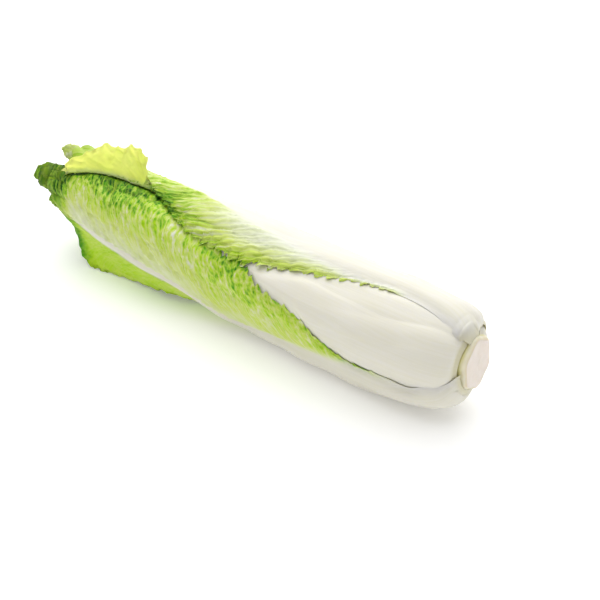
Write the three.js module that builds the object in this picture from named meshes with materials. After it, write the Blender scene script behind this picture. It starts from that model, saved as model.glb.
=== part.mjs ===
// A long napa cabbage head lying on its side, cut from its root and freshly trimmed.
//
// The head is a cut stem core with leaves round it. Every leaf is one closed solid of its own:
// a blade with a thick white rib, wrapped round whatever lies under it with a little air between.
// Three groups make up the head, from the middle outwards:
//   heart bud     the small folded leaves on the core's point,
//   inner leaves  shells that share out the room inside the head, one inside the other,
//   outer leaves  six leaves laid over those and over each other, whose margins show.
//
// Millimetres, +Z up. The head lies along X with its cut end at +X and its leaf tips at -X. A point of
// the head is given by `along`, its distance from the cut face, by `round`, its angle about the head's
// axis (0 is the top, 90 the -Y side, 180 the underside), and by its distance from that axis.
import * as THREE from "three";

// ---- Driving dimensions ----
const AXIS_HEIGHT = 43.5; // of the cut face's centre above what the head lies on
const LEAF_GAP = 0.95; // air between one leaf and the next
const BLADE = 0.9; // thickness of a leaf away from its rib
// A covering leaf stays up for a distance past the margin, tip or foot under it, then comes down.
const MARGIN_STEP = { hold: 5, fall: 10 };
const TIP_STEP = { hold: 14, fall: 26 };
const FOOT_STEP = { hold: 4, fall: 6 };
const CORE_GAP = 0.4; // between a leaf's foot and the core

const CUT_RADIUS = 14.5; // of the cut face
const STUB_LENGTH = 4; // bare core between the cut face and the leaves' feet
const STUB_RADIUS = 18; // of the core there
const CORE_LENGTH = 78; // from the cut face to the core's point inside the head
const CORE_POINT = 0.08; // its thickness at the point, as a share of the stub's

const CROWN_START = 418; // where the inner leaves begin to fold over the end of the head
const CROWN_RADIUS = 24; // of the round that they fold over
const CROWN_FOLD = 74; // degrees through which they fold

// ---- Small helpers ----
const radians = (degrees) => (degrees * Math.PI) / 180;
const clamp = (x, low, high) => Math.min(high, Math.max(low, x));

function smoothstep(from, to, x) {
  const share = clamp((x - from) / (to - from), 0, 1);
  return share * share * (3 - 2 * share);
}

// An angle brought into the half turn either side of zero.
const nearTurn = (angle) => angle - 360 * Math.round(angle / 360);

// A smooth curve through stations [[x, value], ...], level beyond the first and the last.
function curve(stations) {
  const last = stations.length - 1;
  const slope = (i) => {
    if (i === 0 || i === last) return 0;
    const [before, after] = [stations[i - 1], stations[i + 1]];
    return (after[1] - before[1]) / (after[0] - before[0]);
  };
  return (x) => {
    if (x <= stations[0][0]) return stations[0][1];
    if (x >= stations[last][0]) return stations[last][1];
    let i = 0;
    while (x > stations[i + 1][0]) i += 1;
    const [x0, y0] = stations[i];
    const [x1, y1] = stations[i + 1];
    const span = x1 - x0;
    const t = (x - x0) / span;
    const ease = t * t * (3 - 2 * t);
    const lead = t * (1 - t) * (1 - t) * span * slope(i);
    const trail = t * t * (1 - t) * span * slope(i + 1);
    return y0 + (y1 - y0) * ease + lead - trail;
  };
}

// ---- The head as a whole ----

// Radius of the bundle of inner leaves, which the outer leaves are laid on.
const bundleRadius = curve([
  [0, 15.2],
  [4, 18.6],
  [8, 24.2],
  [13, 28.0],
  [29, 32.0],
  [60, 34.0],
  [150, 34.6],
  [260, 35.0],
  [340, 33.0],
  [418, 27.0],
  [470, 22.0],
]);

// How much more radius a layer takes where the bundle slopes, over where it is level.
const steepness = (along) => Math.hypot(1, bundleRadius(along + 0.5) - bundleRadius(along - 0.5));

// Radius of the head's outside, which turns a distance across a leaf into an angle round the head.
const outerRadius = curve([
  [0, 21],
  [8, 29],
  [15, 34],
  [30, 39],
  [60, 42],
  [120, 43],
  [260, 43],
  [340, 40],
  [430, 33],
  [480, 30],
]);

// How far the axis lies above the cut face's centre, and behind it: the head sags towards its front
// and underside where the ribs are thickest, and lifts and swings back towards the leaf tips.
const axisRise = curve([
  [0, 0],
  [60, -2.3],
  [140, -2.3],
  [240, 0],
  [340, 3],
  [430, 9],
  [480, 12],
]);
const axisSway = curve([
  [0, 0],
  [60, -1.9],
  [140, -1.6],
  [240, 0],
  [340, 1.5],
  [430, 5],
  [480, 7],
]);

// Radius of the core inside the leaves: a cone that is blunt at its point.
function coreRadius(along) {
  const share = clamp((along - STUB_LENGTH) / (CORE_LENGTH - STUB_LENGTH), 0, 1);
  return STUB_RADIUS * (1 - (1 - CORE_POINT) * share ** 0.9);
}

// A point of the head. Past the start of the crown a folding leaf turns in over the end.
function headPoint(along, round, height, folds) {
  const turn = folds ? clamp((along - CROWN_START) / CROWN_RADIUS, 0, radians(CROWN_FOLD)) : 0;
  const reach = folds ? Math.min(along, CROWN_START) + height * Math.sin(turn) : along;
  const radius = height * Math.cos(turn);
  const z = AXIS_HEIGHT + axisRise(reach) + radius * Math.cos(radians(round));
  return new THREE.Vector3(-reach, axisSway(reach) - radius * Math.sin(radians(round)), z);
}

// Distance of a point from the head's axis.
const fromAxis = ({ x, y, z }) => Math.hypot(y - axisSway(-x), z - AXIS_HEIGHT - axisRise(-x));

// ---- A closed solid from an inner and an outer grid of points ----
function shell(inner, outer) {
  const rows = inner.length;
  const columns = inner[0].length;
  const points = [...inner.flat(), ...outer.flat()];
  const at = (side, row, column) => side * rows * columns + row * columns + column;
  const halfway = (a, b) => points[a].clone().lerp(points[b], 0.5);
  const triangles = [];
  // Each quad is split along the diagonal that bulges further out, so that nested leaves stay clear.
  const quad = (a, b, c, d) => {
    const outwards = fromAxis(halfway(a, c)) > fromAxis(halfway(b, d));
    triangles.push(...(outwards ? [a, b, c, a, c, d] : [b, c, d, b, d, a]));
  };
  for (let i = 0; i < rows - 1; i += 1) {
    for (let j = 0; j < columns - 1; j += 1) {
      quad(at(1, i, j), at(1, i + 1, j), at(1, i + 1, j + 1), at(1, i, j + 1));
      quad(at(0, i, j), at(0, i, j + 1), at(0, i + 1, j + 1), at(0, i + 1, j));
    }
    quad(at(0, i, 0), at(0, i + 1, 0), at(1, i + 1, 0), at(1, i, 0));
    const end = columns - 1;
    quad(at(0, i, end), at(1, i, end), at(1, i + 1, end), at(0, i + 1, end));
  }
  for (let j = 0; j < columns - 1; j += 1) {
    quad(at(0, 0, j), at(1, 0, j), at(1, 0, j + 1), at(0, 0, j + 1));
    const end = rows - 1;
    quad(at(0, end, j), at(0, end, j + 1), at(1, end, j + 1), at(1, end, j));
  }
  const geometry = new THREE.BufferGeometry().setFromPoints(points);
  geometry.setIndex(triangles);
  geometry.computeVertexNormals();
  return geometry;
}

// ---- Outer leaves, from the lowest to the topmost ----
// foot, tip      `along` of the leaf's foot and of the end of its rib
// blunt          how much sooner the blade ends at its margins than at its rib
// rib            angle of the rib round the head
// left, right    how far the blade reaches on either side of the rib, across the head's surface;
//                left is towards smaller angles
// ribDepth       thickness of the rib, ribWidth half its width
// peel           where a side leaves the head: from what distance across, over what distance, and
//                through what angle
// lift           how far the whole leaf stands off the head
// columns        grid lines across the leaf, where it takes more than usual
const NONE = curve([[0, 0]]);
const LIES_FLAT = { from: NONE, over: 1, turn: NONE };
const PEEL_STEPS = 24; // parts that a side is worked out in as it peels
const OUTER_ROWS = 24; // grid lines along an outer leaf
const OUTER_COLUMNS = 15; // and across it
const RESTING_LAYER = 4; // the leaf that the head lies on
const OUTER_LEAVES = [
  {
    name: "crest_leaf",
    foot: 15,
    tip: 450,
    blunt: 30,
    rib: curve([[9, 12], [200, 6], [380, 2], [450, 8]]),
    left: curve([[9, 12], [50, 24], [120, 36], [300, 50], [400, 40], [450, 24]]),
    right: curve([[9, 12], [50, 24], [120, 36], [300, 50], [400, 40], [450, 24]]),
    ribDepth: curve([[9, 1.6], [60, 3.2], [200, 2.6], [360, 1.2], [450, 0.4]]),
    ribWidth: curve([[9, 10], [60, 22], [200, 18], [360, 13], [450, 9]]),
    leftPeel: LIES_FLAT,
    rightPeel: LIES_FLAT,
    lift: curve([[395, 0], [430, 4], [450, 9]]),
  },
  {
    name: "underside_leaf",
    foot: 14.5,
    tip: 446,
    blunt: 46,
    rib: curve([[8, 206], [200, 205], [446, 200]]),
    left: curve([[8, 13], [50, 28], [120, 42], [300, 62], [400, 50], [446, 34]]),
    right: curve([[8, 13], [50, 28], [120, 42], [300, 62], [400, 50], [446, 34]]),
    ribDepth: curve([[8, 1.8], [60, 3.0], [200, 2.4], [360, 1.0], [446, 0.4]]),
    ribWidth: curve([[8, 11], [60, 28], [200, 22], [360, 14], [446, 10]]),
    leftPeel: LIES_FLAT,
    rightPeel: LIES_FLAT,
    lift: NONE,
  },
  {
    name: "front_leaf",
    foot: 4.5,
    tip: 474,
    blunt: 66,
    rib: curve([[4, 62], [60, 58], [150, 55], [300, 52], [400, 62], [474, 80]]),
    left: curve([[4, 18], [16, 29], [50, 35], [90, 40], [150, 52], [250, 64], [380, 42], [474, 28]]),
    right: curve([[4, 16], [16, 30], [50, 37], [90, 42], [150, 52], [250, 60], [380, 44], [474, 34]]),
    ribDepth: curve([[4, 0.8], [12, 3.8], [25, 5.4], [60, 6.6], [110, 6.2], [200, 4.2], [320, 2.2],
      [474, 0.4]]),
    ribWidth: curve([[4, 17], [16, 29], [60, 38], [120, 34], [200, 24], [320, 14], [474, 9]]),
    leftPeel: LIES_FLAT,
    rightPeel: LIES_FLAT,
    lift: NONE,
  },
  {
    name: "rear_leaf",
    foot: 8,
    tip: 452,
    blunt: 58,
    rib: curve([[4, 262], [150, 264], [300, 268], [452, 276]]),
    left: curve([[4, 15], [16, 28], [50, 36], [90, 40], [150, 52], [250, 66], [380, 56], [452, 34]]),
    right: curve([[4, 15], [16, 28], [50, 36], [90, 40], [150, 52], [250, 62], [380, 50], [452, 30]]),
    ribDepth: curve([[8, 0.8], [16, 3.8], [28, 5.2], [60, 6.2], [110, 6.0], [200, 4.2], [320, 2.4],
      [452, 0.6]]),
    ribWidth: curve([[4, 16], [16, 28], [60, 37], [120, 33], [200, 24], [320, 14], [452, 5]]),
    leftPeel: LIES_FLAT,
    rightPeel: LIES_FLAT,
    lift: NONE,
  },
  {
    name: "lower_leaf",
    foot: 1.5,
    tip: 433,
    blunt: 24,
    rib: curve([[1, 150], [100, 150], [200, 143], [258, 124], [300, 104], [340, 92], [400, 80],
      [433, 78]]),
    left: curve([[1, 20], [20, 27], [47, 23], [62, 27], [98, 40], [128, 58], [160, 64], [190, 72], [300, 64],
      [380, 56], [433, 34]]),
    right: curve([[1, 16], [16, 27], [60, 34], [120, 42], [220, 50], [300, 47], [340, 52], [400, 53],
      [433, 40]]),
    ribDepth: curve([[1, 2.6], [12, 4.4], [25, 5.6], [60, 6.8], [110, 6.4], [200, 5.0], [320, 3.6],
      [433, 1.2]]),
    ribWidth: curve([[1, 16], [16, 26], [60, 32], [120, 32], [200, 24], [320, 12], [433, 5]]),
    leftPeel: LIES_FLAT,
    rightPeel: { from: NONE, over: 44, turn: curve([[200, 0], [262, 18], [300, 42], [433, 56]]) },
    lift: NONE,
  },
  {
    name: "upper_leaf",
    foot: 6.5,
    tip: 436,
    blunt: 22,
    rib: curve([[5, 330], [100, 328], [300, 326], [436, 322]]),
    left: curve([[5, 14], [16, 28], [60, 38], [120, 48], [220, 60], [340, 62], [436, 40]]),
    right: curve([[5, 24], [16, 33], [52, 33], [70, 39], [102, 42], [143, 54], [192, 57], [242, 54],
      [268, 50], [291, 45], [304, 58], [322, 76], [350, 74], [376, 68], [400, 60], [436, 58]]),
    ribDepth: curve([[6, 1.0], [14, 3.8], [26, 5.4], [60, 6.6], [110, 6.2], [200, 4.6], [320, 2.8],
      [436, 1.0]]),
    ribWidth: curve([[5, 18], [16, 29], [60, 36], [120, 34], [200, 25], [320, 14], [436, 6]]),
    leftPeel: LIES_FLAT,
    rightPeel: {
      from: curve([[290, 44], [308, 37], [325, 37], [347, 37], [376, 38], [409, 42], [436, 46]]),
      over: 10,
      turn: curve([[286, 0], [310, 90], [334, 128], [436, 118]]),
    },
    lift: curve([[380, 0], [436, 4]]),
    columns: 21,
  },
];

// Thickness of a leaf at a distance across from its rib.
function leafThickness(leaf, along, across) {
  const share = clamp(Math.abs(across) / leaf.ribWidth(along), 0, 1);
  return BLADE + leaf.ribDepth(along) * (1 - share * share) ** 1.3;
}

// `along` of the leaf's end at a share of its half width.
const leafEnd = (leaf, share) => leaf.tip - leaf.blunt * Math.abs(share) ** 2.6;

// How far a leaf stands off the head, most along its rib and not at all at its margins.
const leafLift = (leaf, along, share) => leaf.lift(along) * (1 - share * share);

// One over an edge, falling smoothly to nothing at a distance past it.
const stepDown = (step, past) => 1 - smoothstep(step.hold, step.hold + step.fall, past);

// Height of the outside of everything that lies under outer leaf number `layer`.
function seat(along, round, layer) {
  let height = bundleRadius(along);
  const perDegree = radians(outerRadius(along));
  for (const leaf of OUTER_LEAVES.slice(0, layer)) {
    const across = nearTurn(round - leaf.rib(along)) * perDegree;
    const reach = across < 0 ? leaf.left(along) : leaf.right(along);
    const share = Math.min(Math.abs(across) / reach, 1);
    const beside = stepDown(MARGIN_STEP, Math.abs(across) - reach);
    const beyond = stepDown(TIP_STEP, along - leafEnd(leaf, share));
    const before = stepDown(FOOT_STEP, leaf.foot - along);
    const thickness = steepness(along) * (LEAF_GAP + leafThickness(leaf, along, across));
    height += beside * beyond * before * (thickness + leafLift(leaf, along, share));
  }
  return height;
}

// Shares of a leaf's length that crowd towards its foot, where it curves most.
function crowded(v) {
  const reach = 0.35;
  const start = 0.12;
  const length = (x) => x - (1 - start) * reach * (1 - Math.exp(-x / reach));
  return length(v) / length(1);
}

// The leaf's inner surface: share runs from -1 to 1 between its margins, v from its foot to its end.
function leafPoint(leaf, layer, share, v) {
  const along = leaf.foot + (leafEnd(leaf, share) - leaf.foot) * crowded(v);
  const side = Math.sign(share) || 1;
  const reach = side < 0 ? leaf.left(along) : leaf.right(along);
  const peel = side < 0 ? leaf.leftPeel : leaf.rightPeel;
  const turn = radians(peel.turn(along));
  const from = peel.from(along);
  const perDegree = radians(outerRadius(along));
  const step = (Math.abs(share) * reach) / PEEL_STEPS;
  let round = leaf.rib(along);
  let off = leafLift(leaf, along, share);
  for (let i = 0; i < PEEL_STEPS; i += 1) {
    const lean = turn * smoothstep(from, from + peel.over, step * (i + 0.5));
    round += (side * step * Math.cos(lean)) / (perDegree + radians(off));
    off += step * Math.sin(lean);
  }
  const point = headPoint(along, round, seat(along, round, layer) + LEAF_GAP + off, false);
  return { point, along, across: share * reach };
}

// A point pressed up where it would lie lower than `floor`.
const press = (point, floor) => new THREE.Vector3(point.x, point.y, Math.max(point.z, floor));

// An outer leaf. Those under the leaf that the head lies on are pressed flat a step higher each.
function outerLeaf(leaf, layer) {
  const columns = leaf.columns ?? OUTER_COLUMNS;
  const floor = Math.max(RESTING_LAYER - layer, 0) * (BLADE + CORE_GAP);
  const inner = [];
  const outer = [];
  const nudge = 0.004;
  for (let i = 0; i < OUTER_ROWS; i += 1) {
    const v = i / (OUTER_ROWS - 1);
    const innerRow = [];
    const outerRow = [];
    for (let j = 0; j < columns; j += 1) {
      const share = -1 + (2 * j) / (columns - 1);
      const { point, along, across } = leafPoint(leaf, layer, share, v);
      const sideways = [-1, 1].map((s) => leafPoint(leaf, layer, share + s * nudge, v).point);
      const near = [Math.max(v - nudge, 0), v + nudge];
      const lengthways = near.map((v) => leafPoint(leaf, layer, share, v).point);
      const outward = lengthways[1].sub(lengthways[0]).cross(sideways[1].sub(sideways[0])).normalize();
      const thickness = leafThickness(leaf, along, across);
      innerRow.push(press(point, floor + BLADE));
      outerRow.push(press(point.clone().addScaledVector(outward, thickness), floor));
    }
    inner.push(innerRow);
    outer.push(outerRow);
  }
  return shell(inner, outer);
}

// ---- Inner leaves: nested shells, each with its own share of the bundle's radius ----
const INNER_COUNT = 9;
const INNER_OUTERMOST = 0.975; // share of the bundle's radius at the outside of the first inner leaf
const INNER_INNERMOST = 0.3; // and at the inside of the last
const LATTICE = 24; // all their grids share lines this many degrees apart
const LEAF_STEP = 6 * LATTICE; // from one leaf's rib to the next one's
const HALF_WRAP = 5 * LATTICE; // how far each blade reaches from its rib
const INNER_FIRST_RIB = 96;
const INNER_FOOT = 10; // `along` where the outermost begins, then its stations
const FOOT_STATIONS = { until: 40, apart: 10 };
const BODY_STATIONS_APART = 75;
const FOLD_STATIONS = 3;

function innerStations() {
  const stations = [];
  for (let along = INNER_FOOT; along < CROWN_START; ) {
    stations.push(along);
    along += along < FOOT_STATIONS.until ? FOOT_STATIONS.apart : BODY_STATIONS_APART;
  }
  const fold = CROWN_RADIUS * radians(CROWN_FOLD);
  for (let i = 0; i <= FOLD_STATIONS; i += 1) {
    stations.push(CROWN_START + (fold * i) / FOLD_STATIONS);
  }
  return stations;
}

function innerLeaf(index) {
  const pitch = (INNER_OUTERMOST - INNER_INNERMOST) / INNER_COUNT;
  const outside = INNER_OUTERMOST - pitch * index;
  const inside = (along) => outside - pitch + LEAF_GAP / bundleRadius(along);
  const rib = INNER_FIRST_RIB + LEAF_STEP * index;
  const clear = (along) => inside(along) * bundleRadius(along) > coreRadius(along) + CORE_GAP;
  const stations = innerStations().filter((along, i, all) => all.slice(i).every(clear));
  const grid = (share) =>
    stations.map((along) => {
      const row = [];
      for (let round = rib - HALF_WRAP; round <= rib + HALF_WRAP; round += LATTICE) {
        row.push(headPoint(along, round, share(along) * bundleRadius(along), true));
      }
      return row;
    });
  return shell(grid(inside), grid(() => outside));
}

// ---- The heart bud: the last leaves, too small and tightly folded to part ----
const BUD_FOOT = CORE_LENGTH + 1;
const BUD_TIP = 424;
const BUD_SIDES = 15;
// Its fullness, as a share of the room inside the last inner leaf, at each distance along.
const BUD_OUTLINE = [
  [84, 0.45],
  [96, 0.85],
  [125, 1],
  [250, 1],
  [340, 1],
  [396, 0.9],
  [416, 0.5],
];

function heartBud() {
  const room = INNER_INNERMOST - LEAF_GAP / bundleRadius(BUD_TIP);
  const outline = [new THREE.Vector2(0, BUD_FOOT)];
  for (const [along, fullness] of BUD_OUTLINE) {
    outline.push(new THREE.Vector2(fullness * room * bundleRadius(along), along));
  }
  outline.push(new THREE.Vector2(0, BUD_TIP));
  return onAxis(new THREE.LatheGeometry(outline, BUD_SIDES));
}

// ---- The core: a flat cut face, a bevelled stub, and a cone up inside the head ----
const CORE_SIDES = 28;
const CORE_RINGS = [STUB_LENGTH, 24, 42, 60];

function stemCore() {
  const outline = [new THREE.Vector2(0, 0), new THREE.Vector2(CUT_RADIUS, 0)];
  for (const along of CORE_RINGS) {
    outline.push(new THREE.Vector2(coreRadius(along), along));
  }
  outline.push(new THREE.Vector2(0, CORE_LENGTH));
  return onAxis(new THREE.LatheGeometry(outline, CORE_SIDES));
}

// Turns a lathe's outline, (radius, along), to lie on the head's axis with its faces outwards.
function onAxis(geometry) {
  geometry.rotateZ(Math.PI / 2);
  const position = geometry.getAttribute("position");
  for (let i = 0; i < position.count; i += 1) {
    const along = -position.getX(i);
    position.setY(i, position.getY(i) + axisSway(along));
    position.setZ(i, position.getZ(i) + AXIS_HEIGHT + axisRise(along));
  }
  return geometry;
}

// ---- Colours ----
const core = new THREE.MeshStandardMaterial({ color: 0xe9e2cb, roughness: 0.6, metalness: 0 });
const heart = new THREE.MeshStandardMaterial({ color: 0xf1efc4, roughness: 0.5, metalness: 0 });
const paleLeaf = new THREE.MeshStandardMaterial({ color: 0xe4edb4, roughness: 0.5, metalness: 0 });
const greenLeaf = new THREE.MeshStandardMaterial({ color: 0xb5d46a, roughness: 0.45, metalness: 0 });

function piece(name, geometry, material) {
  const mesh = new THREE.Mesh(geometry, material);
  mesh.name = name;
  return mesh;
}

const cabbage = new THREE.Group();
cabbage.add(piece("stem_core", stemCore(), core));
cabbage.add(piece("heart_bud", heartBud(), heart));
for (let i = 0; i < INNER_COUNT; i += 1) {
  cabbage.add(piece(`inner_leaf_${i + 1}`, innerLeaf(i), paleLeaf));
}
OUTER_LEAVES.forEach((leaf, layer) => {
  cabbage.add(piece(leaf.name, outerLeaf(leaf, layer), greenLeaf));
});

// The part's frame: its origin is at the centre of the underside of the whole.
const box = new THREE.Box3().setFromObject(cabbage);
const middle = box.getCenter(new THREE.Vector3());
cabbage.position.set(-middle.x, -middle.y, -box.min.z);

export default cabbage;
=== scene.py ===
"""A long napa cabbage head lying on its side: a cut stem core inside ribbed, crinkled and frilled leaves."""

import math
from dataclasses import dataclass
from typing import Callable

import bpy
import numpy as np
from bpy.props import FloatProperty, FloatVectorProperty, IntProperty, PointerProperty
from mathutils import Color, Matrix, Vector


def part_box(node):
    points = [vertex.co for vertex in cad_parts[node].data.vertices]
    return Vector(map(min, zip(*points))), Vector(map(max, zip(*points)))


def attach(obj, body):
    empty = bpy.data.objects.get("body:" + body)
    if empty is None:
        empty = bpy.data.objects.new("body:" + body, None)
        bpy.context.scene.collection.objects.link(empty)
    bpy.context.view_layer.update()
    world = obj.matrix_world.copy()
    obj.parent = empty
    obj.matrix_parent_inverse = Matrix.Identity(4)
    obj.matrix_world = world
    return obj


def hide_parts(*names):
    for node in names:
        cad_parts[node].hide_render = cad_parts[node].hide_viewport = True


bl_info = {
    "name": "Napa Cabbage Head",
    "version": (1, 0, 0),
    "blender": (4, 5, 0),
    "location": "3D View > Sidebar > Cabbage",
    "description": "Builds a long napa cabbage head lying on its side, leaf by leaf",
    "category": "Object",
}

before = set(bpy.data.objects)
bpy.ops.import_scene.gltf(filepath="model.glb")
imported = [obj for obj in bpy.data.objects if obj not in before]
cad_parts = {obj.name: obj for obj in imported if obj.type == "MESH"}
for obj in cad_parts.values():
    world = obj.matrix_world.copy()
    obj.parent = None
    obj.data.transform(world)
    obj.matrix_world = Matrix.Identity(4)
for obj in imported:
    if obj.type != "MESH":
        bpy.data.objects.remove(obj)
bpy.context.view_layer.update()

# ---- Places ----
# The head lies along X with its cut end at +X. A point of it is given by `along`, its distance from the
# cut face, by `round`, its angle about the head's axis in degrees (0 is the top, 90 the -Y side), and by
# its distance from that axis. All three are worked out in millimetres and degrees.
MM = 0.001
CORE_LOW, CORE_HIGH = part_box("stem_core")
CUT_CENTRE = Vector((CORE_HIGH.x, (CORE_LOW.y + CORE_HIGH.y) / 2, (CORE_LOW.z + CORE_HIGH.z) / 2))
AXIS_HEIGHT = CUT_CENTRE.z / MM


def smoothstep(start, end, x):
    """0 up to start, 1 from end, and a smooth rise between."""
    share = np.clip((x - start) / (end - start), 0, 1)
    return share * share * (3 - 2 * share)


def curve(*stations):
    """A smooth curve through (x, value) stations, level beyond the first and the last."""
    xs, ys = np.array(stations, float).T
    slopes = np.zeros(len(xs))
    slopes[1:-1] = (ys[2:] - ys[:-2]) / (xs[2:] - xs[:-2])

    def value(x):
        x = np.clip(x, xs[0], xs[-1])
        i = np.clip(np.searchsorted(xs, x, side="right") - 1, 0, len(xs) - 2)
        span = xs[i + 1] - xs[i]
        t = (x - xs[i]) / span
        ease = t * t * (3 - 2 * t)
        lead = t * (1 - t) * (1 - t) * span * slopes[i]
        trail = t * t * (1 - t) * span * slopes[i + 1]
        return ys[i] + (ys[i + 1] - ys[i]) * ease + lead - trail

    return value


def level(value):
    """A curve that holds one value."""
    return lambda x: np.full_like(np.asarray(x, float), value)


def both(value):
    """One value for the left and the right of a leaf."""
    return value, value


def rolling(x, y, size, seed):
    """Smooth uneven heights, mostly between -1 and 1, that rise and fall over `size`."""
    rng = np.random.default_rng(seed)
    total = 0
    for _ in range(7):
        heading, phase = rng.uniform(0, 2 * math.pi, 2)
        wave = 2 * math.pi / (size * rng.uniform(0.7, 1.6))
        total = total + np.sin(wave * (x * math.cos(heading) + y * math.sin(heading)) + phase)
    return total / 3


def folds(x, length, seed):
    """Rounded folds of uneven length and height at x, from 0 to 1."""
    warp = 1.1 * np.sin(x / (1.9 * length) + seed) + 0.6 * np.sin(x / (0.8 * length) + 2.3 * seed)
    size = 0.7 + 0.3 * np.sin(x / (2.6 * length) + 1.7 * seed)
    return size * (0.5 + 0.5 * np.sin(2 * math.pi * x / length + warp))


def teeth(x, pitch, seed):
    """Pointed teeth of uneven size at x, from 0 to 1, each leaning towards larger x."""
    sizes = np.random.default_rng(seed).uniform(0.15, 1.0, 500)
    place = x / pitch + 0.5 * np.sin(x / (2.2 * pitch) + seed) + 200
    number = np.floor(place).astype(int)
    share = place - number
    point = 0.75
    return sizes[number % len(sizes)] * np.minimum(share / point, (1 - share) / (1 - point))


# ---- The head's shape, as the solids have it ----
LEAF_GAP = 0.95
BLADE = 0.9  # a leaf's thickness beside its rib
MARGIN_THINNING = 0.75  # the share of it that is gone at the margin
# Where a leaf ends, what lies on it comes down past its edge between these two distances.
MARGIN_STEP = (5, 15)
TIP_STEP = (14, 40)
FOOT_STEP = (4, 10)
# A leaf counts as covered inside a later leaf's edges, and as open past them, with a change between these.
MARGIN_COVER = (-2, 6)
TIP_COVER = (-8, 2)
FOOT_COVER = (-8, 0)
FOLDED = 60  # degrees past which a folded margin covers nothing
CORE_GAP = 0.4
CUT_RADIUS = 16.6
STUB_LENGTH = 4
STUB_RADIUS = 19
CORE_LENGTH = 78
CORE_POINT = 0.08  # the core's radius at its inner end, as a share of the stub's
# The inner leaves turn in over the head's end, past this place, on this radius and by this angle.
CROWN_START = 418
CROWN_RADIUS = 24
CROWN_FOLD = 74
RESTING_LAYER = 4  # the outer leaf that the head lies on, which those before it stay clear of

bundle_radius = curve(
    (0, 15.2), (4, 18.6), (8, 24.2), (13, 28), (29, 32), (60, 34), (150, 34.6), (260, 35), (340, 33),
    (418, 27), (470, 22),
)
outer_radius = curve(
    (0, 21), (8, 29), (15, 34), (30, 39), (60, 42), (120, 43), (260, 43), (340, 40), (430, 33), (480, 30)
)
axis_rise = curve((0, 2.5), (14, 0), (60, -2.3), (140, -2.3), (240, 0), (340, 3), (430, 9), (480, 12))
axis_sway = curve((0, 0), (60, -1.9), (140, -1.6), (240, 0), (340, 1.5), (430, 5), (480, 7))


def core_radius(along):
    """Radius of the core's cone inside the leaves."""
    share = np.clip((along - STUB_LENGTH) / (CORE_LENGTH - STUB_LENGTH), 0, 1)
    return STUB_RADIUS * (1 - (1 - CORE_POINT) * share**0.9)


def head_points(along, round_, height, folded=False):
    """Points of the head, in millimetres from the cut face's centre. Folded leaves turn in over its end."""
    turn, reach = 0 * along, along
    if folded:
        turn = np.clip((along - CROWN_START) / CROWN_RADIUS, 0, math.radians(CROWN_FOLD))
        reach = np.minimum(along, CROWN_START) + height * np.sin(turn)
    radius = height * np.cos(turn)
    y = axis_sway(reach) - radius * np.sin(np.radians(round_))
    z = axis_rise(reach) + radius * np.cos(np.radians(round_))
    return np.stack([-reach, y, z], axis=-1)


@dataclass(frozen=True)
class Leaf:
    """An outer leaf: lengths in millimetres, angles in degrees, and each curve a function of `along`."""

    name: str
    foot: float
    tip: float
    blunt: float  # how much sooner the blade ends at its margins than at its rib
    rib: Callable  # angle of the rib round the head
    left: Callable  # reach of the blade on either side of the rib
    right: Callable
    rib_depth: Callable  # how far the rib stands out
    rib_width: Callable  # half the rib's width
    near: tuple  # how green the blade is beside the rib, left and right of it
    green: tuple  # how green its left and right margins are
    rows: int
    columns: int
    lift: Callable = level(0)
    peel_from: Callable = level(0)  # where the right side leaves the head, over what distance
    peel_over: float = 1
    peel_turn: Callable = level(0)  # and through what angle
    ruffle: tuple = both(level(1))  # height of the folds in its left and right margins
    tooth: tuple = both(level(1.5))  # depth of the teeth there
    frill: float = 3  # height of the folds in its end
    cut_back: float = 0  # how much sooner the blade ends right of its rib than left of it
    foot_edge: Callable = level(0)  # how much later than its foot each share of its width begins
    foot_round: float = 5  # over what distance the foot rounds off to its cut edge
    crumple: Callable = level(0)  # height of the lumps in the blade
    loose: tuple = both(level(1))  # how strongly the blade is crinkled on either side
    crisp: tuple = both(level(1))  # how clearly its small veins show there
    deepening: Callable = level(1.6)  # how late the green deepens on the way to the margin
    peeled: Callable = level(0)  # how green the inner face is where the blade is folded back
    arch: tuple = (50, 28)  # how far a side vein runs along the leaf, and over what distance across
    pleat: float = 0.6  # height of the folds between the side veins
    sink: tuple = both(level(0))  # how far each margin is drawn in towards the head
    keel: tuple = (0, 0)  # height of a ridge along the rib, and its distance from the middle


# ---- The outer leaves, from the innermost to the outermost ----
CREST_LEAF = Leaf(
    name="crest_leaf",
    foot=9, tip=450, blunt=30,
    rib=curve((9, 12), (200, 6), (380, 2), (450, 8)),
    left=curve((9, 12), (50, 24), (120, 36), (300, 50), (400, 32), (450, 13)),
    right=curve((9, 12), (50, 24), (120, 36), (300, 50), (400, 24), (450, 7)),
    rib_depth=curve((9, 1.6), (60, 3.2), (200, 2.6), (360, 1.2), (450, 0.4)),
    rib_width=curve((9, 10), (60, 22), (200, 18), (360, 13), (450, 9)),
    lift=curve((395, 0), (430, 3), (450, 8)),
    near=both(level(0.1)),
    green=both(curve((200, 0.3), (400, 0.32), (450, 0.42))),
    rows=230, columns=90,
    frill=3.5,
)
UNDERSIDE_LEAF = Leaf(
    name="underside_leaf",
    foot=9, foot_round=9, tip=446, blunt=46,
    rib=curve((8, 206), (200, 205), (446, 200)),
    left=curve((8, 13), (50, 28), (120, 42), (300, 62), (400, 50), (446, 34)),
    right=curve((8, 13), (50, 28), (120, 42), (300, 62), (400, 50), (446, 34)),
    rib_depth=curve((8, 1.8), (60, 3.0), (200, 2.4), (360, 1.0), (446, 0.4)),
    rib_width=curve((8, 11), (60, 28), (200, 22), (360, 14), (446, 10)),
    near=both(level(0.12)),
    green=both(curve((100, 0.3), (300, 0.5), (446, 0.75))),
    rows=230, columns=60,
)
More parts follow.
